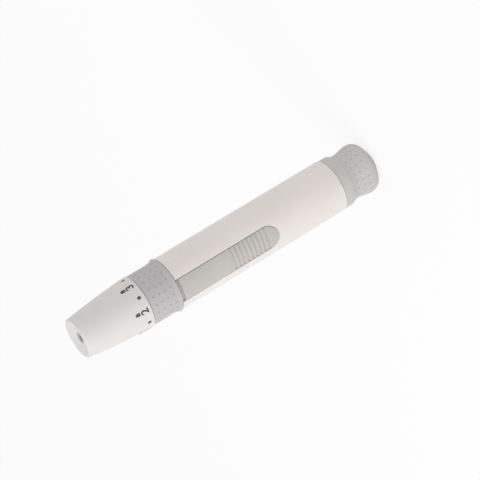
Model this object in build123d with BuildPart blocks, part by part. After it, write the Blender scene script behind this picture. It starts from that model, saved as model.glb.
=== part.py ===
"""Adjustable lancing device: a pen that cocks by a pull knob and fires by a push button.

Millimetres. +Z runs up the pen's axis. The pen stands on the button in its tail, at z = 0,
with its nose up, and the thumb slider that ejects the lancet faces -Y.
"""

from build123d import *
import os
from math import cos, radians, sin

os.makedirs("parts", exist_ok=True)

# Lengths along the axis, from tail to nose
button_stand = 1.0
knob_length = 13.8
barrel_length = 60.8
collar_length = 10.2
dial_length = 21.6

# Travels
cocking_travel = 9.0
button_travel = 1.2
sear_travel = 0.6
depth_step = 0.4

# Gaps between pieces
running_gap = 0.06
snug_gap = 0.03
parting_gap = 0.15
free_gap = 0.3
overrun = 2.0

# Barrel and chassis tubes
barrel_wall = 1.1
barrel_edge = 0.25
chassis_wall = 1.0
neck_length = 7.4
neck_wall = 0.88
bush_length = 4.0

# Thumb slider and its slot
slot_width = 7.6
slot_length = 35.8
slot_gap = 0.14
slider_front_gap = 0.9
slider_edge = 0.18
rib_pitch = 1.54
rib_count = 9
rib_first = 19.6
rib_radius = 0.62
rib_depth = 0.34

# Ejector carriage under the barrel's skin
carriage_length = 11.0
carriage_thickness = 0.72
carriage_half_angle = 31.0
channel_half_angle = 33.0
finger_width = 2.2
finger_length = 1.5
leg_width = 3.0
leg_length = 3.2

# Cocking knob: how far each of its rings stands in from the barrel's skin
knob_lip_step = 0.2
knob_waist_step = 1.0
knob_flare_step = 0.3
knob_end_step = 2.6
knob_bead_length = 3.4
knob_waist_depth = 6.8
knob_flare_depth = 11.3
knob_wall = 1.15
knob_floor = 0.9
pocket_depth = 2.7

# Sleeve that joins the knob to the plunger
sleeve_wall = 1.04
sleeve_plug_length = 3.0
sleeve_front = 1.3
sleeve_web = 1.0
knob_spring_length = 13.0
knob_spring_room = 1.03

# Release button and its pin
button_land = 0.84
button_flange_step = 0.45
button_flange = 0.8
button_edge = 0.35
button_boss_radius = 1.3
button_boss_length = 1.2
pin_radius = 0.75
pin_tip_radius = 0.02

# Plunger, lancet holder and the bulkhead they pass
rod_radius = 1.4
head_step = 0.9
head_room = 0.2
head_length = 3.3
head_gap = 0.3
bulkhead_length = 4.5
bulkhead_gap = 0.7
sear_thickness = 1.1
sear_width = 5.2
sear_half_length = 6.4
groove_radius = 0.9
groove_length = 1.5
flange_length = 1.5
return_spring_length = 7.0
return_spring_room = 1.37
rib_ring = 1.2
seat_depth = 1.0
holder_wall = 1.25
lancet_radius = 3.1
lancet_grip = 11.2
holder_lead = 2.6
finger_slit = 1.0
rod_grip = 6.0

# Nose cap: core, collar, dial and depth sleeve
core_wall = 0.76
core_spigot_length = 5.2
core_spigot_step = 0.37
core_spigot_wall = 1.05
core_bead = 0.25
core_bead_length = 0.8
core_nose_room = 1.3
core_nose_wall = 0.57
core_nose_length = 7.0
collar_waist_step = 0.32
collar_lip_stand = 0.37
collar_edge = 0.25
dial_rear_step = 0.12
dial_mid_step = 0.84
dial_front_step = 2.05
dial_shoulder = 0.8
dial_rim_round = 0.55
dial_rim_land = 0.6
dial_wall = 1.1
nose_wall = 1.25
nose_dish = 0.9
nose_hole_radius = 1.83
nose_bore_step = 0.75
depth_sleeve_wall = 0.66
depth_sleeve_length = 8.0
depth_lip = 1.0
depth_lip_bore = 2.3
key_width = 1.0
key_height = 0.45

# Wires of the coil springs
knob_spring_wire = 0.45
drive_spring_wire = 0.6
return_spring_wire = 0.35
button_spring_wire = 0.35
button_spring_radius = 2.1
knob_spring_coils = 5
drive_spring_coils = 5
return_spring_coils = 3
button_spring_coils = 3

# Planes along the axis
z_knob_back = button_stand
z_barrel_back = z_knob_back + knob_length
z_barrel_front = z_barrel_back + barrel_length
z_collar_front = z_barrel_front + collar_length
z_nose = z_collar_front + dial_length
z_neck_front = z_barrel_front + neck_length
z_bush_front = z_barrel_back + bush_length
z_sleeve_flange = z_bush_front + knob_spring_length
z_sleeve_front = z_sleeve_flange + sleeve_front
z_bulkhead = z_sleeve_front + bulkhead_gap
z_bulkhead_front = z_bulkhead + bulkhead_length
z_sear = z_bulkhead + (bulkhead_length - sear_thickness) / 2
z_seat = z_barrel_front - seat_depth
z_finger = z_seat - free_gap - cocking_travel - finger_length
z_rib_ring = z_finger - free_gap - rib_ring
z_flange_front = z_rib_ring - return_spring_length
z_flange = z_flange_front - flange_length
z_holder_front = z_seat + lancet_grip
z_slot_end = z_barrel_front - slot_length
z_pocket_top = z_knob_back + knob_floor + pocket_depth

# Radii of the rear half, from the plunger outwards
head_radius = rod_radius + head_step
pin_offset = head_radius + head_room + pin_radius
sleeve_bore = pin_offset + pin_radius + free_gap
sleeve_radius = sleeve_bore + sleeve_wall
chassis_bore = sleeve_radius + knob_spring_room
chassis_radius = chassis_bore + chassis_wall
barrel_bore = chassis_radius + snug_gap
barrel_radius = barrel_bore + barrel_wall
carriage_radius = barrel_bore - running_gap
carriage_bore = carriage_radius - carriage_thickness

# Radii of the front half, from the lancet outwards
holder_radius = lancet_radius + holder_wall
guide_bore = holder_radius + return_spring_room
neck_radius = guide_bore + neck_wall
core_bore = neck_radius + running_gap
core_radius = core_bore + core_wall
core_spigot_radius = core_radius - core_spigot_step
core_spigot_bore = core_spigot_radius - core_spigot_wall
core_nose_bore = lancet_radius + core_nose_room
core_nose_radius = core_nose_bore + core_nose_wall
depth_bore_radius = core_nose_radius + depth_sleeve_wall + 2 * running_gap
nose_bore_radius = depth_bore_radius - nose_bore_step

# Radii of the grips and the dial, from the barrel's skin
knob_lip_radius = barrel_radius - knob_lip_step
knob_waist_radius = barrel_radius - knob_waist_step
knob_flare_radius = barrel_radius - knob_flare_step
knob_end_radius = barrel_radius - knob_end_step
knob_bore = knob_waist_radius - knob_wall
plug_radius = knob_bore - snug_gap
button_radius = knob_end_radius - button_land - running_gap
button_flange_radius = button_radius + button_flange_step
collar_waist_radius = barrel_radius - collar_waist_step
collar_lip_radius = barrel_radius + collar_lip_stand
dial_rear_radius = barrel_radius - dial_rear_step
dial_mid_radius = barrel_radius - dial_mid_step
dial_front_radius = barrel_radius - dial_front_step
dial_rim_radius = dial_front_radius - dial_rim_round
nose_dish_radius = dial_rim_radius - dial_rim_land


def edge_plane(half_angle):
    """The half-plane where a sector centred on -Y, this wide each way, begins."""
    start = radians(-90 - half_angle)
    return Plane(origin=(0, 0, 0), x_dir=(cos(start), sin(start), 0), z_dir=(sin(start), -cos(start), 0))


# Barrel: the white outer tube, with the slider's slot open at its front
with BuildPart() as barrel:
    with BuildSketch(Plane.XY.offset(z_barrel_back)):
        Circle(barrel_radius)
        Circle(barrel_bore, mode=Mode.SUBTRACT)
    extrude(amount=barrel_length)
    outer_rims = barrel.edges().filter_by(GeomType.CIRCLE).filter_by(
        lambda edge: edge.radius > barrel_bore + barrel_edge
    )
    chamfer(outer_rims, length=barrel_edge)
    with BuildSketch(Plane.XZ):
        with Locations((0, z_slot_end + slot_width / 2)):
            Circle(slot_width / 2)
        with Locations((0, z_barrel_front)):
            Rectangle(slot_width, 2 * (slot_length - slot_width / 2))
    extrude(amount=barrel_radius + overrun, mode=Mode.SUBTRACT)
barrel.part.label = "barrel"
export_step(barrel.part, "parts/barrel.step")

# Rear bush: closes the barrel round the knob's sleeve
with BuildPart() as rear_bush:
    with BuildSketch(Plane.XY.offset(z_barrel_back)):
        Circle(chassis_radius)
        Circle(sleeve_radius + running_gap, mode=Mode.SUBTRACT)
    extrude(amount=bush_length)
    chamfer(rear_bush.faces().sort_by(Axis.Z)[0].inner_wires()[0].edges(), length=barrel_edge)
rear_bush.part.label = "rear_bush"
export_step(rear_bush.part, "parts/rear_bush.step")

# Chassis: the inner tube with its bulkhead, spring rib, ejector channel and neck
with BuildPart() as chassis:
    with BuildSketch(Plane.XZ):
        with BuildLine():
            Polyline(
                (chassis_radius, z_bush_front + snug_gap),
                (chassis_radius, z_barrel_front),
                (neck_radius, z_barrel_front),
                (neck_radius, z_neck_front - barrel_edge),
                (neck_radius - barrel_edge, z_neck_front),
                (guide_bore, z_neck_front),
                (guide_bore, z_rib_ring + rib_ring),
                (holder_radius + free_gap, z_rib_ring + rib_ring),
                (holder_radius + free_gap, z_rib_ring),
                (guide_bore, z_rib_ring),
                (guide_bore, z_bulkhead_front),
                (rod_radius + running_gap, z_bulkhead_front),
                (rod_radius + running_gap, z_bulkhead),
                (chassis_bore, z_bulkhead),
                (chassis_bore, z_bush_front + snug_gap),
                close=True,
            )
        make_face()
    revolve(axis=Axis.Z)
    # Window across the bulkhead for the sear plate
    with BuildSketch(Plane.XY.offset(z_sear - running_gap)):
        Rectangle(2 * (chassis_radius + overrun), sear_width + 2 * running_gap)
    extrude(amount=sear_thickness + 2 * running_gap, mode=Mode.SUBTRACT)
    # Hole that lets the release pin reach the sear plate
    with BuildSketch(Plane.XY.offset(z_bulkhead - overrun)):
        with Locations((-pin_offset, 0)):
            Circle(pin_radius + running_gap)
    extrude(amount=overrun + bulkhead_length / 2 + sear_thickness, mode=Mode.SUBTRACT)
    # Channel for the ejector carriage, open at the neck's front
    with BuildSketch(edge_plane(channel_half_angle)):
        with Locations((carriage_bore - running_gap, z_finger - carriage_length / 2)):
            Rectangle(overrun, z_neck_front - z_finger + carriage_length, align=(Align.MIN, Align.MIN))
    revolve(axis=Axis.Z, revolution_arc=2 * channel_half_angle, mode=Mode.SUBTRACT)
    # Slit for the ejector's finger
    with BuildSketch(Plane.XZ):
        with Locations((0, z_rib_ring + rib_ring)):
            Rectangle(finger_width + 2 * free_gap, z_nose, align=(Align.CENTER, Align.MIN))
    extrude(amount=chassis_radius + overrun, mode=Mode.SUBTRACT)
chassis.part.label = "chassis"
export_step(chassis.part, "parts/chassis.step")

# Thumb slider: a flush strip of the barrel's own curve, ribbed for the thumb
slider_width = slot_width - 2 * slot_gap
z_slider_front = z_barrel_front - slider_front_gap
z_leg = z_finger - carriage_length / 4
with BuildPart() as thumb_slider:
    with BuildSketch(Plane.XZ):
        with Locations((0, z_slot_end + slot_width / 2)):
            Circle(slider_width / 2)
            Rectangle(slider_width, z_slider_front - z_slot_end - slot_width / 2, align=(Align.CENTER, Align.MIN))
    extrude(amount=barrel_radius + overrun)
    with BuildSketch():
        Circle(barrel_radius)
        Circle(barrel_bore + running_gap, mode=Mode.SUBTRACT)
    extrude(amount=z_nose, mode=Mode.INTERSECT)
    outer_edges = thumb_slider.faces().filter_by(GeomType.CYLINDER).sort_by(SortBy.AREA)[-1].edges()
    chamfer(outer_edges, length=slider_edge)
    # Rounded grooves across the pad leave the thumb ribs between them
    with BuildSketch(Plane.XZ):
        rib_centre_radius = barrel_radius + rib_radius - rib_depth
        z_rib_middle = z_barrel_front - rib_first - rib_pitch * (rib_count - 1) / 2
        with Locations((rib_centre_radius, z_rib_middle)):
            with GridLocations(0, rib_pitch, 1, rib_count):
                Circle(rib_radius)
    revolve(axis=Axis.Z, mode=Mode.SUBTRACT)
    # Leg that snaps down into the carriage
    with BuildSketch(Plane.XZ.offset(carriage_bore + running_gap)):
        with Locations((0, z_leg)):
            Rectangle(leg_width, leg_length)
    extrude(amount=barrel_radius - carriage_bore - 2 * rib_depth)
thumb_slider.part.label = "thumb_slider"
export_step(thumb_slider.part, "parts/thumb_slider.step")

# Ejector carriage: the curved shoe under the barrel's skin, with the finger behind the lancet
with BuildPart() as ejector_carriage:
    with BuildSketch(edge_plane(carriage_half_angle)):
        with Locations((carriage_bore, z_finger)):
            Rectangle(carriage_thickness, carriage_length, align=(Align.MIN, Align.CENTER))
    revolve(axis=Axis.Z, revolution_arc=2 * carriage_half_angle)
    with BuildSketch(Plane.XZ.offset(free_gap)):
        with Locations((0, z_finger)):
            Rectangle(finger_width, finger_length, align=(Align.CENTER, Align.MIN))
    extrude(amount=carriage_bore + carriage_thickness / 2 - free_gap)
    with BuildSketch(Plane.XZ.offset(carriage_bore - overrun / 2)):
        with Locations((0, z_leg)):
            Rectangle(leg_width + 2 * snug_gap, leg_length + 2 * snug_gap)
    extrude(amount=2 * overrun, mode=Mode.SUBTRACT)
ejector_carriage.part.label = "ejector_carriage"
export_step(ejector_carriage.part, "parts/ejector_carriage.step")

# Knob: the grey waisted cap that is pulled back to cock the pen
z_knob_front = z_barrel_back - parting_gap
with BuildPart() as knob:
    with BuildSketch(Plane.XZ):
        with BuildLine():
            bead = Line(
                (knob_lip_radius, z_knob_front),
                (knob_lip_radius, z_barrel_back - knob_bead_length),
            )
            waist = Spline(
                bead @ 1,
                (knob_waist_radius, z_barrel_back - knob_waist_depth),
                (knob_flare_radius, z_barrel_back - knob_flare_depth),
                (knob_end_radius, z_knob_back),
                tangents=((-knob_wall, -knob_wall), (-knob_length, -knob_wall)),
            )
            Polyline(
                waist @ 1,
                (button_radius + running_gap, z_knob_back),
                (button_radius + running_gap, z_knob_back + knob_floor),
                (button_flange_radius + running_gap, z_knob_back + knob_floor),
                (button_flange_radius + running_gap, z_pocket_top),
                (knob_bore, z_pocket_top),
                (knob_bore, z_knob_front),
                bead @ 0,
            )
        make_face()
    revolve(axis=Axis.Z)
    front_rim = knob.edges().filter_by(GeomType.CIRCLE).group_by(Axis.Z)[-1].sort_by(SortBy.RADIUS)[-1]
    fillet(front_rim, radius=barrel_edge)
knob.part.label = "knob"
export_step(knob.part, "parts/knob.step")

# Knob sleeve: runs in the rear bush and draws the plunger back by its head
with BuildPart() as knob_sleeve:
    with BuildSketch(Plane.XZ):
        with BuildLine():
            Polyline(
                (sleeve_bore, z_pocket_top),
                (plug_radius, z_pocket_top),
                (plug_radius, z_pocket_top + sleeve_plug_length),
                (sleeve_radius, z_pocket_top + sleeve_plug_length),
                (sleeve_radius, z_sleeve_flange),
                (chassis_bore - running_gap, z_sleeve_flange),
                (chassis_bore - running_gap, z_sleeve_front),
                (rod_radius + running_gap, z_sleeve_front),
                (rod_radius + running_gap, z_sleeve_flange),
                (sleeve_bore, z_sleeve_flange),
                close=True,
            )
        make_face()
    revolve(axis=Axis.Z)
    # Web that the button's spring stands on
    with BuildSketch(Plane.XY.offset(z_pocket_top + sleeve_plug_length + sleeve_web)):
        Circle(sleeve_bore + sleeve_wall / 2)
    extrude(amount=sleeve_web)
    with BuildSketch():
        with Locations((-pin_offset, 0)):
            Circle(pin_radius + running_gap)
    extrude(amount=z_nose, mode=Mode.SUBTRACT)
knob_sleeve.part.label = "knob_sleeve"
export_step(knob_sleeve.part, "parts/knob_sleeve.step")

# Release button: the white disc in the knob's end
z_button_flange = z_knob_back + knob_floor + parting_gap
z_button_inside = z_button_flange + button_flange
with BuildPart() as release_button:
    with BuildSketch(Plane.XZ):
        with BuildLine():
            Polyline(
                (0, 0),
                (button_radius, 0),
                (button_radius, z_button_flange),
                (button_flange_radius, z_button_flange),
                (button_flange_radius, z_button_inside),
                (button_boss_radius, z_button_inside),
                (button_boss_radius, z_button_inside + button_boss_length),
                (0, z_button_inside + button_boss_length),
                close=True,
            )
        make_face()
    revolve(axis=Axis.Z)
    fillet(release_button.edges().filter_by(GeomType.CIRCLE).sort_by(Axis.Z)[0], radius=button_edge)
    with BuildSketch(Plane.XY.offset(z_button_flange)):
        with Locations((-pin_offset, 0)):
            Circle(pin_radius)
    extrude(amount=button_flange + overrun, mode=Mode.SUBTRACT)
release_button.part.label = "release_button"
export_step(release_button.part, "parts/release_button.step")

# Release pin: a steel pin that carries the button's push to the sear plate
pin_cone_length = pin_radius * button_travel / sear_travel
z_pin_tip = z_sear - running_gap - button_travel + pin_cone_length
with BuildPart() as release_pin:
    with BuildSketch(Plane.XY.offset(z_button_flange)):
        with Locations((-pin_offset, 0)):
            Circle(pin_radius)
    extrude(amount=z_pin_tip - z_button_flange)
    chamfer(
        release_pin.edges().group_by(Axis.Z)[-1],
        length=pin_cone_length,
        length2=pin_radius - pin_tip_radius,
        reference=release_pin.faces().filter_by(GeomType.CYLINDER)[0],
    )
release_pin.part.label = "release_pin"
export_step(release_pin.part, "parts/release_pin.step")

# Sear plate: slides across the bulkhead and catches the plunger's groove
with BuildPart() as sear_plate:
    with BuildSketch(Plane.XY.offset(z_sear)):
        Rectangle(2 * sear_half_length, sear_width)
        SlotCenterToCenter(2 * sear_travel, 2 * (rod_radius + running_gap), mode=Mode.SUBTRACT)
        with Locations((-pin_offset - sear_travel, 0)):
            SlotOverall(2 * (pin_radius + sear_travel), 2 * (pin_radius + running_gap), mode=Mode.SUBTRACT)
    extrude(amount=sear_thickness)
    fillet(sear_plate.edges().filter_by(Axis.Z).group_by(Axis.X)[0], radius=barrel_edge)
    fillet(sear_plate.edges().filter_by(Axis.Z).group_by(Axis.X)[-1], radius=barrel_edge)
sear_plate.part.label = "sear_plate"
export_step(sear_plate.part, "parts/sear_plate.step")

# Plunger rod: pulled by its head, caught in its groove, pressed into the lancet holder
z_head_front = z_sleeve_flange - head_gap
with BuildPart() as plunger_rod:
    with BuildSketch(Plane.XZ):
        with BuildLine():
            Polyline(
                (0, z_head_front - head_length),
                (head_radius - barrel_edge, z_head_front - head_length),
                (head_radius, z_head_front - head_length + barrel_edge),
                (head_radius, z_head_front),
                (rod_radius, z_head_front),
                (rod_radius, z_sear + cocking_travel - (groove_length - sear_thickness) / 2),
                (groove_radius, z_sear + cocking_travel - (groove_length - sear_thickness) / 2),
                (groove_radius, z_sear + cocking_travel + (groove_length + sear_thickness) / 2),
                (rod_radius, z_sear + cocking_travel + (groove_length + sear_thickness) / 2),
                (rod_radius, z_flange + rod_grip),
                (0, z_flange + rod_grip),
                close=True,
            )
        make_face()
    revolve(axis=Axis.Z)
plunger_rod.part.label = "plunger_rod"
export_step(plunger_rod.part, "parts/plunger_rod.step")

# Lancet holder: a split cup on a guide flange, slit on the ejector's side
with BuildPart() as lancet_holder:
    with BuildSketch(Plane.XZ):
        with BuildLine():
            Polyline(
                (rod_radius, z_flange),
                (guide_bore - running_gap, z_flange),
                (guide_bore - running_gap, z_flange_front),
                (holder_radius, z_flange_front),
                (holder_radius, z_holder_front - barrel_edge),
                (holder_radius - barrel_edge, z_holder_front),
                (lancet_radius, z_holder_front),
                (lancet_radius, z_seat),
                (0, z_seat),
                (0, z_flange + rod_grip),
                (rod_radius, z_flange + rod_grip),
                close=True,
            )
        make_face()
    revolve(axis=Axis.Z)
    # Two cross slits part the cup into four gripping fingers
    with BuildSketch(Plane.XY.offset(z_seat + holder_lead)):
        Rectangle(2 * (holder_radius + overrun), finger_slit)
        Rectangle(finger_slit, 2 * (holder_radius + overrun))
    extrude(amount=lancet_grip, mode=Mode.SUBTRACT)
    # Long slit in which the ejector's finger waits and pushes
    with BuildSketch(Plane.XZ):
        with Locations((0, z_finger - free_gap)):
            Rectangle(finger_width + 2 * free_gap, z_nose, align=(Align.CENTER, Align.MIN))
    extrude(amount=holder_radius + overrun, mode=Mode.SUBTRACT)
lancet_holder.part.label = "lancet_holder"
export_step(lancet_holder.part, "parts/lancet_holder.step")

# Cap core: snaps over the neck, carries the collar, and is the dial's bearing
z_core_back = z_barrel_front + parting_gap
z_spigot_front = z_collar_front + core_spigot_length
z_core_front = z_spigot_front + core_nose_length
z_core_bead = z_collar_front + (core_spigot_length - core_bead_length) / 2
with BuildPart() as cap_core:
    with BuildSketch(Plane.XZ):
        with BuildLine():
            Polyline(
                (core_bore, z_core_back),
                (core_radius, z_core_back),
                (core_radius, z_collar_front - parting_gap),
                (core_spigot_radius, z_collar_front - parting_gap),
                (core_spigot_radius, z_core_bead),
                (core_spigot_radius + core_bead, z_core_bead + core_bead_length / 2),
                (core_spigot_radius, z_core_bead + core_bead_length),
                (core_spigot_radius, z_spigot_front),
                (core_nose_radius, z_spigot_front),
                (core_nose_radius, z_core_front),
                (core_nose_bore, z_core_front),
                (core_nose_bore, z_spigot_front - core_wall),
                (core_spigot_bore, z_spigot_front - core_wall),
                (core_spigot_bore, z_neck_front + free_gap),
                (core_bore, z_neck_front + free_gap),
                close=True,
            )
        make_face()
    revolve(axis=Axis.Z)
    # Two keyways hold the depth sleeve from turning
    with BuildSketch(Plane.XY.offset(z_spigot_front)):
        Rectangle(2 * (core_nose_radius + overrun), key_width + 2 * running_gap)
    extrude(amount=core_nose_length, mode=Mode.SUBTRACT)
cap_core.part.label = "cap_core"
export_step(cap_core.part, "parts/cap_core.step")

# Grip collar: the grey ring that flares to a lip over the barrel's end
with BuildPart() as grip_collar:
    with BuildSketch(Plane.XZ):
        with BuildLine():
            waist_line = Line(
                (collar_waist_radius, z_collar_front - parting_gap),
                (collar_waist_radius, z_core_back + collar_length / 2),
            )
            flare = Spline(
                waist_line @ 1,
                (collar_lip_radius, z_core_back + collar_edge),
                tangents=((0, -collar_length), (collar_edge, -collar_edge)),
            )
            Polyline(
                flare @ 1,
                (collar_lip_radius - collar_edge, z_core_back),
                (core_radius + snug_gap, z_core_back),
                (core_radius + snug_gap, z_collar_front - parting_gap),
                waist_line @ 0,
            )
        make_face()
    revolve(axis=Axis.Z)
grip_collar.part.label = "grip_collar"
export_step(grip_collar.part, "parts/grip_collar.step")

# Dial: the white depth dial with the dished nose and the lancet's hole
z_shoulder = z_nose - dial_shoulder
z_bearing_front = z_spigot_front + free_gap
z_depth_front = z_nose - nose_dish - nose_wall - dial_wall
with BuildPart() as dial:
    with BuildSketch(Plane.XZ):
        with BuildLine():
            side = ThreePointArc(
                (dial_rear_radius, z_collar_front),
                (dial_mid_radius, (z_collar_front + z_shoulder) / 2),
                (dial_front_radius, z_shoulder),
            )
            nose_round = Spline(
                side @ 1,
                (dial_rim_radius, z_nose),
                tangents=(side % 1, (-dial_shoulder, 0)),
            )
            Polyline(
                nose_round @ 1,
                (nose_dish_radius, z_nose),
                (nose_hole_radius, z_nose - nose_dish),
                (nose_hole_radius, z_nose - nose_dish - nose_wall),
                (nose_bore_radius, z_nose - nose_dish - nose_wall),
                (depth_bore_radius, z_depth_front),
                (depth_bore_radius, z_bearing_front),
                (core_spigot_radius + running_gap, z_bearing_front),
                (core_spigot_radius + running_gap, z_core_bead + core_bead_length),
                (core_spigot_radius + running_gap + core_bead, z_core_bead + core_bead_length / 2),
                (core_spigot_radius + running_gap, z_core_bead),
                (core_spigot_radius + running_gap, z_collar_front),
                side @ 0,
            )
        make_face()
    revolve(axis=Axis.Z)
dial.part.label = "dial"
export_step(dial.part, "parts/dial.step")

# Depth sleeve: moved along the axis by the dial, kept from turning by its keys
z_depth_back = z_core_front + free_gap - depth_sleeve_length + depth_lip + depth_step
with BuildPart() as depth_sleeve:
    with BuildSketch(Plane.XZ):
        with BuildLine():
            Polyline(
                (core_nose_radius + running_gap, z_depth_back),
                (depth_bore_radius - running_gap, z_depth_back),
                (depth_bore_radius - running_gap, z_depth_back + depth_sleeve_length),
                (depth_lip_bore, z_depth_back + depth_sleeve_length),
                (depth_lip_bore, z_depth_back + depth_sleeve_length - depth_lip),
                (core_nose_radius + running_gap, z_depth_back + depth_sleeve_length - depth_lip),
                close=True,
            )
        make_face()
    revolve(axis=Axis.Z)
    with BuildSketch(Plane.XY.offset(z_depth_back + depth_step)):
        with Locations((core_nose_radius, 0), (-core_nose_radius, 0)):
            Rectangle(2 * key_height, key_width)
    extrude(amount=depth_sleeve_length / 2)
depth_sleeve.part.label = "depth_sleeve"
export_step(depth_sleeve.part, "parts/depth_sleeve.step")


def coil_spring(radius, wire, z_low, z_high, coils):
    """A coil of four-sided wire, clear of the seats at its two ends."""
    rise = z_high - z_low - wire - 2 * snug_gap
    with BuildPart() as spring:
        with BuildLine():
            path = Helix(
                pitch=rise / coils,
                height=rise,
                radius=radius,
                center=(0, 0, z_low + wire / 2 + snug_gap),
            )
        with BuildSketch(Plane(origin=path @ 0, z_dir=path % 0)):
            RegularPolygon(radius=wire / 2, side_count=4)
        sweep(path=path, is_frenet=True)
    return spring.part


# Springs: drive, return, knob and button
springs = {
    "knob_spring": (
        (sleeve_radius + chassis_bore) / 2,
        knob_spring_wire,
        z_bush_front,
        z_sleeve_flange,
        knob_spring_coils,
    ),
    "drive_spring": (
        (rod_radius + guide_bore) / 2,
        drive_spring_wire,
        z_bulkhead_front,
        z_flange,
        drive_spring_coils,
    ),
    "return_spring": (
        (holder_radius + guide_bore) / 2,
        return_spring_wire,
        z_flange_front,
        z_rib_ring,
        return_spring_coils,
    ),
    "button_spring": (
        button_spring_radius,
        button_spring_wire,
        z_button_inside,
        z_pocket_top + sleeve_plug_length + sleeve_web,
        button_spring_coils,
    ),
}
for name, sizes in springs.items():
    spring = coil_spring(*sizes)
    spring.label = name
    export_step(spring, f"parts/{name}.step")
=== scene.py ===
"""An adjustable lancing device in a plain studio.

Metres throughout. The pen stands on its tail button with its axis along Z and its nose up, and
its thumb slider faces -Y. Angles round the pen are counted from the slider's middle.
"""

from math import asin, atan2, cos, pi, radians, sin, sqrt

import bmesh
import bpy
from mathutils import Matrix, Vector
from mathutils.bvhtree import BVHTree


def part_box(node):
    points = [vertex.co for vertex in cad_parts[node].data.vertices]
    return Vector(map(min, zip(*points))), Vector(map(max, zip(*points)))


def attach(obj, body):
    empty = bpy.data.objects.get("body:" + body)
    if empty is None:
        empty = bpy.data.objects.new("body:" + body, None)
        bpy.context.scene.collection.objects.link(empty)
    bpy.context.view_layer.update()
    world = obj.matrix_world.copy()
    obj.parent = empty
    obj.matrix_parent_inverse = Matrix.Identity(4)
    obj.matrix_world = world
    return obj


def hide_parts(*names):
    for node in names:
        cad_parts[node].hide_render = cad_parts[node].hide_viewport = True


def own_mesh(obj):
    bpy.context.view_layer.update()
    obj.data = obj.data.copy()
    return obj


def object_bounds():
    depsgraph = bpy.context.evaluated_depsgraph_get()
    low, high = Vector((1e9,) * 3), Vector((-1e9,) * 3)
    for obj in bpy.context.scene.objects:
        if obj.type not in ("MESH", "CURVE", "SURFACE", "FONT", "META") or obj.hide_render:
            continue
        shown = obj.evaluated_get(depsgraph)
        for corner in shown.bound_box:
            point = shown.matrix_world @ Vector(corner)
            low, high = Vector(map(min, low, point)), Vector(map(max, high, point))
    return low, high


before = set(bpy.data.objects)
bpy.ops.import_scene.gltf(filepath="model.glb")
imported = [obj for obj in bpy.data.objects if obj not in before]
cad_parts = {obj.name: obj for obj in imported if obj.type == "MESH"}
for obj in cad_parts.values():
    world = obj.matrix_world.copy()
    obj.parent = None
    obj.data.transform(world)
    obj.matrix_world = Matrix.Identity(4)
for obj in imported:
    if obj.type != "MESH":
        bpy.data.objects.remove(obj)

cad_low, cad_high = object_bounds()
mm = 0.001
weld = 0.0001 * mm
join = 10 * weld

# Turned pieces, and the rounding of all edges
turn_steps = 160
grip_steps = 60
straight = radians(0.5)
sharp_corner = radians(40)
edge_round = 0.1 * mm
edge_steps = 2

# Barrel and slider, rolled from flat sheets; ribs and leg are placed from the slider's front edge
slot_gap = 0.14 * mm
barrel_wall = 1.1 * mm
barrel_edge = 0.16 * mm
slider_wall = 1.04 * mm
slider_edge = 0.14 * mm
strip_width = 0.45 * mm
arc_steps = 24
row_length = 5 * mm
rib_first = 18.7 * mm
rib_pitch = 1.54 * mm
rib_count = 9
rib_radius = 0.62 * mm
rib_depth = 0.34 * mm
rib_rows = 10
plain_rows = 3
leg_width = 3.0 * mm
leg_length = 3.2 * mm
leg_depth = 1.2 * mm
leg_place = 13.65 * mm
tongue_drop = 0.52 * mm
tongue_wall = 0.42 * mm
tongue_length = 0.85 * mm
tongue_root = 0.5 * mm

# Dimples in the two grey grips, in rings placed from each grip's front edge
dimple_size = 0.95 * mm
dimple_rows = 20
dimple_rim = 0.1 * mm
dimple_depth = 0.24 * mm
collar_dimples = [1.9 * mm, 4.0 * mm, 6.0 * mm, 8.0 * mm]
knob_dimples = [5.6 * mm, 7.6 * mm, 9.6 * mm]
row_pitch = 0.45 * mm
ring_slack = 1.01

# Springs of round wire
wire_sides = 12
coil_steps = 40
coil_turns = {"knob_spring": 5, "drive_spring": 5, "return_spring": 3, "button_spring": 3}
coil_wire = {
    "knob_spring": 0.45 * mm,
    "drive_spring": 0.6 * mm,
    "return_spring": 0.35 * mm,
    "button_spring": 0.35 * mm,
}

# Print on the dial; the 1 and the 4 are drawn in straight strokes, in millimetres
digit_height = 2.5 * mm
digit_weight = 0.09 * mm
font_share = 0.73
digit_place = 2.25 * mm
digit_start = radians(-56)
digit_step = radians(60)
digit_count = 5
plain_digits = {
    1: [
        [
            (-0.2, -1.25), (0.3, -1.25), (0.3, 1.25), (-0.08, 1.25),
            (-0.62, 0.86), (-0.62, 0.36), (-0.2, 0.62),
        ],
    ],
    4: [
        [
            (0.12, -1.25), (0.6, -1.25), (0.6, -0.72), (0.88, -0.72), (0.88, -0.26), (0.6, -0.26),
            (0.6, 1.25), (0.1, 1.25), (-0.87, -0.24), (-0.87, -0.72), (0.12, -0.72),
        ],
        [(0.12, -0.26), (0.12, 0.62), (-0.44, -0.26)],
    ],
}
block_outline = [(-0.54, -0.75), (0.54, -0.75), (0.54, 0.25), (0.3, 0.75), (-0.3, 0.75), (-0.54, 0.25)]
block_place = 4.55 * mm
block_corner = 0.12 * mm
dot_width = 0.92 * mm
dot_length = 1.12 * mm
dot_place = 1.8 * mm
dot_corner = 0.3 * mm
corner_steps = 4
print_relief = 0.02 * mm
print_strip = 0.3 * mm
print_sliver = 0.002 * mm

# Finishes: clouds of colour, wear in the gloss, and the grain
noise_middle = (0.3, 0.7)
cloud_size = 9 * mm
cloud_detail = 3
handling_size = 2.5 * mm
handling_detail = 4
gloss_spread = 0.05
grain_detail = 2
grain_strength = 0.5
plastic_ior = 1.49
glow_depth = 0.8 * mm
glow_reach = (1.0, 0.9, 0.8)
wire_shade = 6
wire_cloud = 0.8 * mm
wire_rough = 0.28
wire_spots = 0.3 * mm

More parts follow.
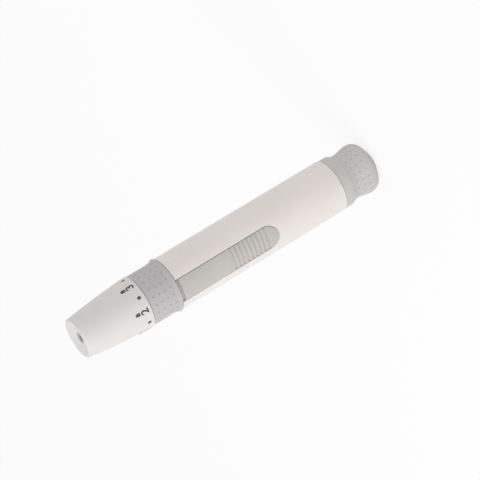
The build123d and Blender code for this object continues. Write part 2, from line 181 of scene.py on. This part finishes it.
# Camera, at the photograph's viewing angle
sight_height = 55.23 * mm
sight_distance = 595 * mm
sight_azimuth = radians(-62.25)
sight_elevation = radians(20)
sight_roll = radians(-121.2)
sight_right = 5.11 * mm
sight_up = 3.24 * mm
lens_length = 150.15
sensor_width = 36
near_clip = 0.01

# Light and floor
key_direction = (-0.62, -0.68, 0.75)
key_power = 0.6
key_size = 260 * mm
key_distance = 420 * mm
sky_light = 0.84
floor_size = 6.0
floor_gap = 0.02 * mm
floor_white = 0.84
floor_grey = 0.88
floor_rough = 0.9


def screen_colour(red, green, blue):
    """A colour as a screen shows it, 0 to 255, turned into the light that it stands for."""
    levels = [value / 255 for value in (red, green, blue)]
    return [v / 12.92 if v <= 0.04045 else ((v + 0.055) / 1.055) ** 2.4 for v in levels] + [1]


def add_noise(nodes, links, coordinates, size, detail):
    """A noise on the piece's own coordinates, with clouds of about this size."""
    noise = nodes.new("ShaderNodeTexNoise")
    noise.inputs["Scale"].default_value = 1 / size
    noise.inputs["Detail"].default_value = detail
    links.new(coordinates.outputs["Object"], noise.inputs["Vector"])
    return noise


def add_range(nodes, links, noise, low, high):
    """The middle of a noise stretched to run from low to high."""
    span = nodes.new("ShaderNodeMapRange")
    span.inputs["From Min"].default_value = noise_middle[0]
    span.inputs["From Max"].default_value = noise_middle[1]
    span.inputs["To Min"].default_value = low
    span.inputs["To Max"].default_value = high
    links.new(noise.outputs["Fac"], span.inputs["Value"])
    return span


def tinted_shader(name, colour, shade, tint_size, rough, rough_size):
    """A material whose colour and gloss wander a little over the piece."""
    material = bpy.data.materials.new(name)
    material.use_nodes = True
    nodes, links = material.node_tree.nodes, material.node_tree.links
    shader = nodes["Principled BSDF"]
    coordinates = nodes.new("ShaderNodeTexCoord")
    clouds = add_noise(nodes, links, coordinates, tint_size, cloud_detail)
    tint = nodes.new("ShaderNodeMix")
    tint.data_type = "RGBA"
    tint.inputs["A"].default_value = screen_colour(*[value - shade for value in colour])
    tint.inputs["B"].default_value = screen_colour(*[value + shade for value in colour])
    links.new(add_range(nodes, links, clouds, 0, 1).outputs["Result"], tint.inputs["Factor"])
    links.new(tint.outputs["Result"], shader.inputs["Base Color"])
    handling = add_noise(nodes, links, coordinates, rough_size, handling_detail)
    gloss = add_range(nodes, links, handling, rough - gloss_spread, rough + gloss_spread)
    links.new(gloss.outputs["Result"], shader.inputs["Roughness"])
    return material, shader, coordinates


def moulded_plastic(name, colour, shade, rough, grain_size, grain_depth, glow=0.0):
    """Moulded plastic with the spark-eroded grain of its tool."""
    material, shader, coordinates = tinted_shader(name, colour, shade, cloud_size, rough, handling_size)
    shader.inputs["IOR"].default_value = plastic_ior
    shader.inputs["Subsurface Weight"].default_value = glow
    shader.inputs["Subsurface Radius"].default_value = glow_reach
    shader.inputs["Subsurface Scale"].default_value = glow_depth
    nodes, links = material.node_tree.nodes, material.node_tree.links
    grain = add_noise(nodes, links, coordinates, grain_size, grain_detail)
    bump = nodes.new("ShaderNodeBump")
    bump.inputs["Strength"].default_value = grain_strength
    bump.inputs["Distance"].default_value = grain_depth
    links.new(grain.outputs["Fac"], bump.inputs["Height"])
    links.new(bump.outputs["Normal"], shader.inputs["Normal"])
    return material


def drawn_steel(name, colour):
    """Bright drawn wire with small spots in its polish."""
    material, shader = tinted_shader(name, colour, wire_shade, wire_cloud, wire_rough, wire_spots)[:2]
    shader.inputs["Metallic"].default_value = 1.0
    return material


barrel_white = moulded_plastic("barrel_white", (229, 222, 219), 2.0, 0.42, 0.2 * mm, 0.07 * mm)
dial_white = moulded_plastic("dial_white", (219, 215, 212), 2.0, 0.4, 0.2 * mm, 0.07 * mm)
button_white = moulded_plastic("button_white", (226, 224, 222), 2.0, 0.36, 0.2 * mm, 0.06 * mm)
slider_grey = moulded_plastic("slider_grey", (191, 188, 184), 2.0, 0.44, 0.18 * mm, 0.08 * mm)
collar_grey = moulded_plastic("collar_grey", (188, 184, 185), 3.0, 0.5, 0.2 * mm, 0.13 * mm)
knob_grey = moulded_plastic("knob_grey", (197, 194, 191), 3.0, 0.5, 0.2 * mm, 0.13 * mm)
acetal_white = moulded_plastic("acetal_white", (222, 221, 216), 1.5, 0.32, 0.3 * mm, 0.003 * mm, 0.1)
dial_ink = moulded_plastic("dial_ink", (80, 76, 75), 6.0, 0.5, 0.08 * mm, 0.004 * mm)
wire_steel = drawn_steel("wire_steel", (200, 200, 202))


def everything(bm):
    """All vertices, edges and faces of a mesh that is being made."""
    return bm.verts[:] + bm.edges[:] + bm.faces[:]


def cut_flat(bm, point, normal):
    """A straight cut right through, which leaves both sides."""
    bmesh.ops.bisect_plane(bm, geom=everything(bm), dist=weld, plane_co=point, plane_no=normal)


def soften(bm, angle, width):
    """Rounds each edge that turns by more than this angle."""
    corners = [e for e in bm.edges if len(e.link_faces) == 2 and e.calc_face_angle() > angle]
    bmesh.ops.bevel(
        bm, geom=corners, offset=width, offset_type="OFFSET", segments=edge_steps, profile=0.5,
        affect="EDGES", clamp_overlap=True, material=-1,
    )


def add_piece(bm, name, body, material, nodes=()):
    """Makes a finished mesh a piece of the pen, on the body that carries it."""
    bmesh.ops.recalc_face_normals(bm, faces=bm.faces)
    mesh = bpy.data.meshes.new(name)
    bm.to_mesh(mesh)
    bm.free()
    mesh.shade_smooth()
    mesh.materials.append(material)
    piece = bpy.data.objects.new(name, mesh)
    bpy.context.scene.collection.objects.link(piece)
    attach(piece, body)
    if nodes:
        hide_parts(*nodes)
    return piece


def even_normals(piece):
    """Lets the large faces set the shading, so that only the rounded edges catch the light."""
    piece.modifiers.new("even_normals", "WEIGHTED_NORMAL").keep_sharp = True


def subdivide(piece, levels):
    """A subdivision surface, the same in the view and the render."""
    smooth = piece.modifiers.new("subdivide", "SUBSURF")
    smooth.levels = levels
    smooth.render_levels = levels


def section_of(node):
    """The outline of a turned solid, cut through its axis, as wire edges on the +X side."""
    bm = bmesh.new()
    bm.from_mesh(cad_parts[node].data)
    bmesh.ops.remove_doubles(bm, verts=bm.verts, dist=weld)
    bmesh.ops.bisect_plane(
        bm, geom=everything(bm), dist=weld, plane_co=(0, 0, 0), plane_no=(0, 1, 0),
        clear_inner=True, clear_outer=True,
    )
    bmesh.ops.bisect_plane(
        bm, geom=everything(bm), dist=weld, plane_co=(0, 0, 0), plane_no=(1, 0, 0), clear_inner=True,
    )
    bmesh.ops.delete(bm, geom=bm.faces[:], context="FACES_ONLY")
    bmesh.ops.remove_doubles(bm, verts=bm.verts, dist=join)
    return bm


def turn(bm, steps):
    """Spins a wire outline right round the pen's axis."""
    bmesh.ops.spin(
        bm, geom=bm.verts[:] + bm.edges[:], cent=(0, 0, 0), axis=(0, 0, 1), dvec=(0, 0, 0),
        angle=2 * pi, steps=steps, use_merge=True, use_duplicate=False,
    )
    bmesh.ops.remove_doubles(bm, verts=bm.verts, dist=join)
    bmesh.ops.recalc_face_normals(bm, faces=bm.faces)


def turned_mesh(node):
    """A turned solid spun again from its own outline, with its corners rounded."""
    bm = section_of(node)
    bmesh.ops.dissolve_limit(bm, angle_limit=straight, verts=bm.verts, edges=bm.edges)
    turn(bm, turn_steps)
    soften(bm, sharp_corner, edge_round)
    return bm


def grip_rows(front, places):
    """The heights of the mesh rows that frame each ring of dimples, and those between them."""
    edges = sorted(front - place + side * dimple_size / 2 for place in places for side in (-1, 1))
    heights = edges[:1]
    for low, high in zip(edges[:-1], edges[1:]):
        steps = 1 if high - low < ring_slack * dimple_size else round((high - low) / row_pitch)
        heights += [low + (high - low) * step / steps for step in range(1, steps + 1)]
    return heights


def dimpled_mesh(node, places):
    """A turned grip with rings of dimples pressed into its skin."""
    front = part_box(node)[1].z
    heights = grip_rows(front, places)
    bm = section_of(node)
    for height in heights:
        cut_flat(bm, (0, 0, height), (0, 0, 1))
    spare = [
        v for v in bm.verts
        if heights[0] < v.co.z < heights[-1] and min(abs(v.co.z - h) for h in heights) > join
    ]
    bmesh.ops.dissolve_verts(bm, verts=spare)
    turn(bm, grip_steps)
    soften(bm, sharp_corner, edge_round)
    dimples = []
    for face in bm.faces:
        centre = face.calc_center_median()
        column = round((atan2(centre.y, centre.x) / (2 * pi)) * grip_steps - 0.5) % grip_steps
        ringed = min(abs(front - place - centre.z) for place in places) < dimple_size / 4
        outside = face.normal.x * centre.x + face.normal.y * centre.y > 0
        if ringed and outside and column % (grip_steps // dimple_rows) == 0:
            dimples.append(face)
    bmesh.ops.inset_individual(bm, faces=dimples, thickness=dimple_rim, depth=0)
    bmesh.ops.inset_individual(bm, faces=dimples, thickness=dimple_rim, depth=-dimple_depth)
    return bm


def rolled_mesh(outline, radius, wall, rows, edge):
    """A flat sheet, x round the girth and z along the axis, rolled round the pen and thickened."""
    bm = bmesh.new()
    bm.faces.new([bm.verts.new((x, 0, z)) for x, z in outline])
    half_girth = max(x for x, z in outline)
    strips = round(2 * half_girth / strip_width)
    for strip in range(1, strips):
        cut_flat(bm, (half_girth * (2 * strip / strips - 1), 0, 0), (1, 0, 0))
    for height in rows:
        cut_flat(bm, (0, 0, height), (0, 0, 1))
    for vert in bm.verts:
        angle = vert.co.x / radius - pi / 2
        vert.co = (radius * cos(angle), radius * sin(angle), vert.co.z)
    bmesh.ops.remove_doubles(bm, verts=bm.verts, dist=join)
    inside = bmesh.ops.extrude_face_region(bm, geom=bm.faces[:], use_keep_orig=True)["geom"]
    inner_share = (radius - wall) / radius
    bmesh.ops.scale(
        bm, verts=[v for v in inside if isinstance(v, bmesh.types.BMVert)],
        vec=(inner_share, inner_share, 1),
    )
    bmesh.ops.recalc_face_normals(bm, faces=bm.faces)
    soften(bm, sharp_corner, edge)
    return bm


def round_end(half_width, back, radius):
    """The sheet outline of a round end, from the +X side to the -X side."""
    turns = [pi * step / arc_steps for step in range(arc_steps + 1)]
    return [
        (radius * asin(half_width * cos(turn) / radius), back + half_width * (1 - sin(turn)))
        for turn in turns
    ]


def barrel_mesh():
    """The white barrel, with the slider's slot open at its front."""
    low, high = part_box("barrel")
    slider_low, slider_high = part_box("thumb_slider")
    radius = high.x
    slot = round_end(slider_high.x + slot_gap, slider_low.z - slot_gap, radius)
    outline = [(-pi * radius, low.z), (pi * radius, low.z), (pi * radius, high.z)]
    outline += [(slot[0][0], high.z)] + slot + [(slot[-1][0], high.z), (-pi * radius, high.z)]
    rows = [low.z + row_length * row for row in range(1, int((high.z - low.z) / row_length))]
    return rolled_mesh(outline, radius, barrel_wall, rows, barrel_edge)


def slider_mesh():
    """The grey thumb slider: a strip of the barrel's own curve with thumb ribs near its end."""
    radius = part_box("barrel")[1].x
    low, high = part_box("thumb_slider")
    end = round_end(high.x, low.z, radius)
    outline = [(end[0][0], high.z)] + end + [(end[-1][0], high.z)]
    centres = [high.z - rib_first - rib_pitch * rib for rib in range(rib_count)]
    half_groove = sqrt(rib_radius**2 - (rib_radius - rib_depth) ** 2)
    rows = [c + half_groove * (2 * row / rib_rows - 1) for c in centres for row in range(rib_rows + 1)]
    rows += [high.z - row_length * row for row in range(1, plain_rows + 1)]
    bm = rolled_mesh(outline, radius, slider_wall, rows, slider_edge)
    for vert in bm.verts:
        reach = sqrt(vert.co.x**2 + vert.co.y**2)
        off_centre = min(abs(vert.co.z - centre) for centre in centres)
        if off_centre < half_groove:
            depth = sqrt(rib_radius**2 - off_centre**2) - (rib_radius - rib_depth)
            share = (reach - radius + slider_wall) / slider_wall
            vert.co.xy *= (reach - depth * share) / reach
    place = Matrix.Translation((0, slider_wall + leg_depth / 2 - radius - edge_round, high.z - leg_place))
    size = Matrix.Diagonal((leg_width, leg_depth, leg_length, 1))
    bmesh.ops.create_cube(bm, size=1, matrix=place @ size)
    return bm


def tongue_mesh():
    """The slider's thin front tongue, a step below its face, which covers the finger's slit."""
    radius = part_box("barrel")[1].x - tongue_drop
    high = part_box("thumb_slider")[1]
    half_girth = radius * asin(high.x / (radius + tongue_drop))
    back, front = high.z - tongue_root, high.z + tongue_length
    outline = [(-half_girth, back), (half_girth, back), (half_girth, front), (-half_girth, front)]
    return rolled_mesh(outline, radius, tongue_wall, [], edge_round)


def lay_on_dial(verts, skin, angle, height):
    """Rolls flat print round the dial: x runs round it, y towards the nose, z stands proud."""
    for vert in verts:
        level = height + vert.co.y
        reach = skin.ray_cast(Vector((cad_high.x, 0, level)), Vector((-1, 0, 0)))[0].x
        turned = angle + vert.co.x / reach - pi / 2
        proud = reach + vert.co.z
        vert.co = (proud * cos(turned), proud * sin(turned), level)


def cut_print(bm, verts):
    """Narrow cuts across flat print, so that it rolls without corners."""
    for axis in (0, 1):
        reach = max(abs(v.co[axis]) for v in verts)
        cuts = int(reach / print_strip)
        for cut in range(-cuts, cuts + 1):
            point, normal = Vector((0, 0, 0)), Vector((0, 0, 0))
            point[axis], normal[axis] = cut * print_strip, 1
            cut_flat(bm, point, normal)
    bmesh.ops.dissolve_degenerate(bm, dist=print_sliver, edges=bm.edges)


def printed_digit(digit):
    """One bold numeral as flat print."""
    if digit in plain_digits:
        return drawn_digit(plain_digits[digit])
    text = bpy.data.curves.new("numeral", "FONT")
    text.body = str(digit)
    text.size = digit_height / font_share
    text.offset = digit_weight
    text.extrude = print_relief
    text.align_x = "CENTER"
    carrier = bpy.data.objects.new("numeral", text)
    bpy.context.scene.collection.objects.link(carrier)
    mesh = bpy.data.meshes.new_from_object(carrier)
    bpy.data.objects.remove(carrier)
    bpy.data.curves.remove(text)
    bm = bmesh.new()
    bm.from_mesh(mesh)
    bpy.data.meshes.remove(mesh)
    bmesh.ops.remove_doubles(bm, verts=bm.verts, dist=join)
    width = [v.co.x for v in bm.verts]
    height = [v.co.y for v in bm.verts]
    middle = Vector(((min(width) + max(width)) / 2, (min(height) + max(height)) / 2, 0))
    bmesh.ops.translate(bm, verts=bm.verts, vec=-middle)
    return bm


def thicken_print(bm):
    """Gives flat print its two sides and its edge."""
    top = bmesh.ops.extrude_face_region(bm, geom=bm.faces[:], use_keep_orig=True)["geom"]
    bmesh.ops.translate(
        bm, verts=[v for v in top if isinstance(v, bmesh.types.BMVert)], vec=(0, 0, 2 * print_relief),
    )
    return bm


def drawn_digit(outlines):
    """One numeral of straight strokes from its outline and that of its hole."""
    bm = bmesh.new()
    for outline in outlines:
        corners = [bm.verts.new((x * mm, y * mm, -print_relief)) for x, y in outline]
        for start, end in zip(corners, corners[1:] + corners[:1]):
            bm.edges.new((start, end))
    bmesh.ops.triangle_fill(bm, use_beauty=True, edges=bm.edges)
    return thicken_print(bm)


def printed_patch(outline, round_radius):
    """A small solid mark of the given outline, with rounded corners."""
    bm = bmesh.new()
    bm.faces.new([bm.verts.new((x, y, -print_relief)) for x, y in outline])
    bmesh.ops.bevel(
        bm, geom=bm.verts[:], offset=round_radius, offset_type="OFFSET", segments=corner_steps,
        profile=0.5, affect="VERTICES", clamp_overlap=True, material=-1,
    )
    return thicken_print(bm)


def dial_print_mesh():
    """The dial's numerals, the block ahead of each one and the dots half way between them."""
    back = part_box("dial")[0].z
    solid = bmesh.new()
    solid.from_mesh(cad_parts["dial"].data)
    skin = BVHTree.FromBMesh(solid)
    solid.free()
    whole = bmesh.new()
    block = [(x * mm, y * mm) for x, y in block_outline]
    dot = [(x * dot_width / 2, y * dot_length / 2) for x, y in ((-1, -1), (1, -1), (1, 1), (-1, 1))]
    for number in range(digit_count):
        angle = digit_start + digit_step * number
        marks = [
            (printed_digit(number + 1), angle, digit_place),
            (printed_patch(block, block_corner), angle, block_place),
        ]
        if number < digit_count - 1:
            marks.append((printed_patch(dot, dot_corner), angle + digit_step / 2, dot_place))
        for mark, turned, place in marks:
            cut_print(mark, mark.verts)
            lay_on_dial(mark.verts, skin, turned, back + place)
            flat = bpy.data.meshes.new("mark")
            mark.to_mesh(flat)
            mark.free()
            whole.from_mesh(flat)
            bpy.data.meshes.remove(flat)
    return whole


def coil_mesh(node, wire):
    """A coil spring of round wire between the ends of its CAD solid."""
    low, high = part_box(node)
    bm = bmesh.new()
    place = Matrix.Translation((high.x - wire / 2, 0, low.z + wire / 2)) @ Matrix.Rotation(pi / 2, 4, "X")
    bmesh.ops.create_circle(bm, cap_ends=True, segments=wire_sides, radius=wire / 2, matrix=place)
    steps = coil_steps * coil_turns[node]
    rise = high.z - low.z - wire
    bmesh.ops.spin(
        bm, geom=everything(bm), cent=(0, 0, 0), axis=(0, 0, 1), dvec=(0, 0, rise / steps),
        angle=2 * pi * coil_turns[node], steps=steps, use_merge=False, use_duplicate=False,
    )
    bmesh.ops.remove_doubles(bm, verts=bm.verts, dist=weld)
    return bm


def shorten(piece):
    """Gives a spring a mesh of its own, a copy that no other piece shares."""
    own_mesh(piece)


# The visible pieces
barrel = add_piece(barrel_mesh(), "barrel_shell", "barrel", barrel_white, ["barrel"])
slider = add_piece(slider_mesh(), "ribbed_slider", "ejector", slider_grey, ["thumb_slider"])
dial = add_piece(turned_mesh("dial"), "depth_dial", "dial", dial_white, ["dial"])
button = add_piece(
    turned_mesh("release_button"), "push_button", "button", button_white, ["release_button"],
)
for piece in (barrel, slider, dial, button):
    even_normals(piece)
collar = add_piece(
    dimpled_mesh("grip_collar", collar_dimples), "dimpled_collar", "cap", collar_grey,
    ["grip_collar"],
)
knob = add_piece(
    dimpled_mesh("knob", knob_dimples), "dimpled_knob", "knob", knob_grey, ["knob"],
)
for piece in (collar, knob):
    subdivide(piece, 2)
add_piece(dial_print_mesh(), "dial_numerals", "dial", dial_ink)
even_normals(add_piece(tongue_mesh(), "slider_tongue", "ejector", slider_grey))

# The springs; the return spring pulls longer, so it stays as it is and rides with the plunger
coils = {}
spring_bodies = {
    "knob_spring": "knob",
    "drive_spring": "plunger",
    "return_spring": "plunger",
    "button_spring": "button",
}
for node, body in spring_bodies.items():
    coils[node] = add_piece(
        coil_mesh(node, coil_wire[node]), f"{node}_coil", body, wire_steel, [node],
    )
shorten(coils["knob_spring"])
shorten(coils["drive_spring"])
shorten(coils["button_spring"])

# The pieces inside keep their solids
inner_finish = {
    "rear_bush": acetal_white,
    "chassis": acetal_white,
    "knob_sleeve": acetal_white,
    "plunger_rod": acetal_white,
    "lancet_holder": acetal_white,
    "cap_core": acetal_white,
    "depth_sleeve": acetal_white,
    "ejector_carriage": slider_grey,
    "release_pin": wire_steel,
    "sear_plate": wire_steel,
}
for node, material in inner_finish.items():
    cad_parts[node].data.materials.clear()
    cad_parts[node].data.materials.append(material)


def add_floor():
    """A pale floor that a camera sees as white and that keeps the pen's shadow."""
    bm = bmesh.new()
    bmesh.ops.create_grid(bm, x_segments=1, y_segments=1, size=floor_size / 2)
    mesh = bpy.data.meshes.new("floor")
    bm.to_mesh(mesh)
    bm.free()
    floor = bpy.data.objects.new("floor", mesh)
    bpy.context.scene.collection.objects.link(floor)
    floor.location.z = -floor_gap
    material = bpy.data.materials.new("pale_floor")
    material.use_nodes = True
    nodes, links = material.node_tree.nodes, material.node_tree.links
    shader = nodes["Principled BSDF"]
    shader.inputs["Base Color"].default_value = (floor_grey, floor_grey, floor_grey, 1)
    shader.inputs["Roughness"].default_value = floor_rough
    rays = nodes.new("ShaderNodeLightPath")
    seen = nodes.new("ShaderNodeMath")
    seen.operation = "MAXIMUM"
    links.new(rays.outputs["Is Camera Ray"], seen.inputs[0])
    links.new(rays.outputs["Is Glossy Ray"], seen.inputs[1])
    through = nodes.new("ShaderNodeMath")
    through.operation = "MAXIMUM"
    links.new(seen.outputs["Value"], through.inputs[0])
    links.new(rays.outputs["Is Transmission Ray"], through.inputs[1])
    glow = nodes.new("ShaderNodeEmission")
    glow.inputs["Strength"].default_value = 1.0
    part = nodes.new("ShaderNodeMath")
    part.operation = "MULTIPLY"
    part.inputs[1].default_value = floor_white
    links.new(through.outputs["Value"], part.inputs[0])
    mix = nodes.new("ShaderNodeMixShader")
    links.new(part.outputs["Value"], mix.inputs["Fac"])
    links.new(shader.outputs["BSDF"], mix.inputs[1])
    links.new(glow.outputs["Emission"], mix.inputs[2])
    links.new(mix.outputs["Shader"], nodes["Material Output"].inputs["Surface"])
    mesh.materials.append(material)


def add_sky():
    """Even white light from all round, seen as plain white."""
    world = bpy.data.worlds.new("studio")
    bpy.context.scene.world = world
    world.use_nodes = True
    nodes, links = world.node_tree.nodes, world.node_tree.links
    light = nodes["Background"]
    light.inputs["Color"].default_value = (1, 1, 1, 1)
    light.inputs["Strength"].default_value = sky_light
    seen = nodes.new("ShaderNodeBackground")
    seen.inputs["Color"].default_value = (1, 1, 1, 1)
    seen.inputs["Strength"].default_value = 1.0
    rays = nodes.new("ShaderNodeLightPath")
    mix = nodes.new("ShaderNodeMixShader")
    links.new(rays.outputs["Is Camera Ray"], mix.inputs["Fac"])
    links.new(light.outputs["Background"], mix.inputs[1])
    links.new(seen.outputs["Background"], mix.inputs[2])
    links.new(mix.outputs["Shader"], nodes["World Output"].inputs["Surface"])


def add_lamp(name, direction, power, size):
    """A soft square lamp that looks at the pen's middle from this direction."""
    lamp = bpy.data.lights.new(name, "AREA")
    lamp.energy = power
    lamp.size = size
    carrier = bpy.data.objects.new(name, lamp)
    bpy.context.scene.collection.objects.link(carrier)
    away = Vector(direction).normalized()
    carrier.location = Vector((0, 0, sight_height)) + away * key_distance
    carrier.rotation_mode = "QUATERNION"
    carrier.rotation_quaternion = away.to_track_quat("Z", "Y")


def add_camera():
    """The camera at the photograph's angle, turned about its own line of sight as the pen lies there."""
    towards = Vector((
        cos(sight_elevation) * cos(sight_azimuth),
        cos(sight_elevation) * sin(sight_azimuth),
        sin(sight_elevation),
    ))
    level_right = Vector((-sin(sight_azimuth), cos(sight_azimuth), 0))
    axis_up = towards.cross(level_right)
    right = level_right * cos(sight_roll) + axis_up * sin(sight_roll)
    up = axis_up * cos(sight_roll) - level_right * sin(sight_roll)
    forward = (right * sight_right + up * sight_up - towards * sight_distance).normalized()
    right = (right - forward * right.dot(forward)).normalized()
    up = right.cross(forward)
    lens = bpy.data.cameras.new("camera")
    lens.lens = lens_length
    lens.sensor_width = sensor_width
    lens.clip_start = near_clip
    camera = bpy.data.objects.new("camera", lens)
    bpy.context.scene.collection.objects.link(camera)
    camera.location = Vector((0, 0, sight_height)) + towards * sight_distance
    camera.rotation_mode = "QUATERNION"
    camera.rotation_quaternion = Matrix((right, up, -forward)).transposed().to_quaternion()
    bpy.context.scene.camera = camera


add_floor()
add_sky()
add_lamp("key", key_direction, key_power, key_size)
add_camera()
bpy.context.scene.view_settings.view_transform = "Standard"
